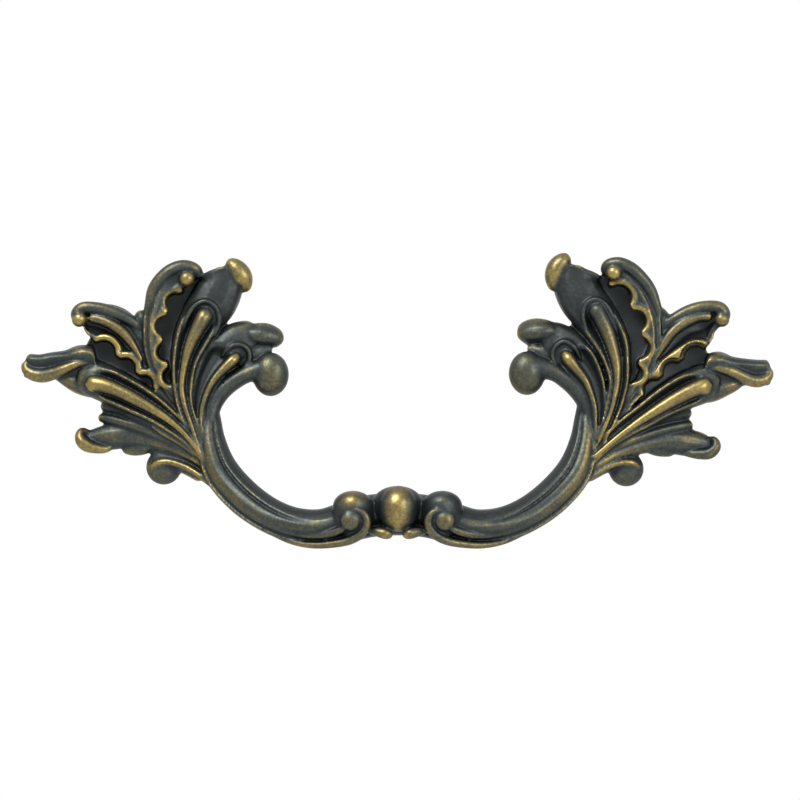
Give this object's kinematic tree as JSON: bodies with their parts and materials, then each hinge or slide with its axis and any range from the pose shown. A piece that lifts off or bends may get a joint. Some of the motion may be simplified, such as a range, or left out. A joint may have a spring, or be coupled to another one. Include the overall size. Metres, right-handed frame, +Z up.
{
  "type": "bail pull",
  "caption": "Rigid cast drawer pull: a C-shaped grip with a bead and scrolls at its middle, flowing at both ends into rococo acanthus leaf fans with tapped bosses behind.",
  "frame": {"origin": "midway between the two fixing holes, on the plane of the drawer face that the bosses rest on", "axes": "+X to the right and +Z up as the pull hangs on a drawer, +Y into the drawer, so the grip stands out towards -Y"},
  "size_m": [0.1272, 0.0245, 0.0493],
  "materials": {
    "antique_brass": "dark blue-green patina with brass rubbed through on the ridges and tips, satin"
  },
  "bodies": {
    "root": {"pull_casting": "antique_brass"}
  },
  "joints": []
}
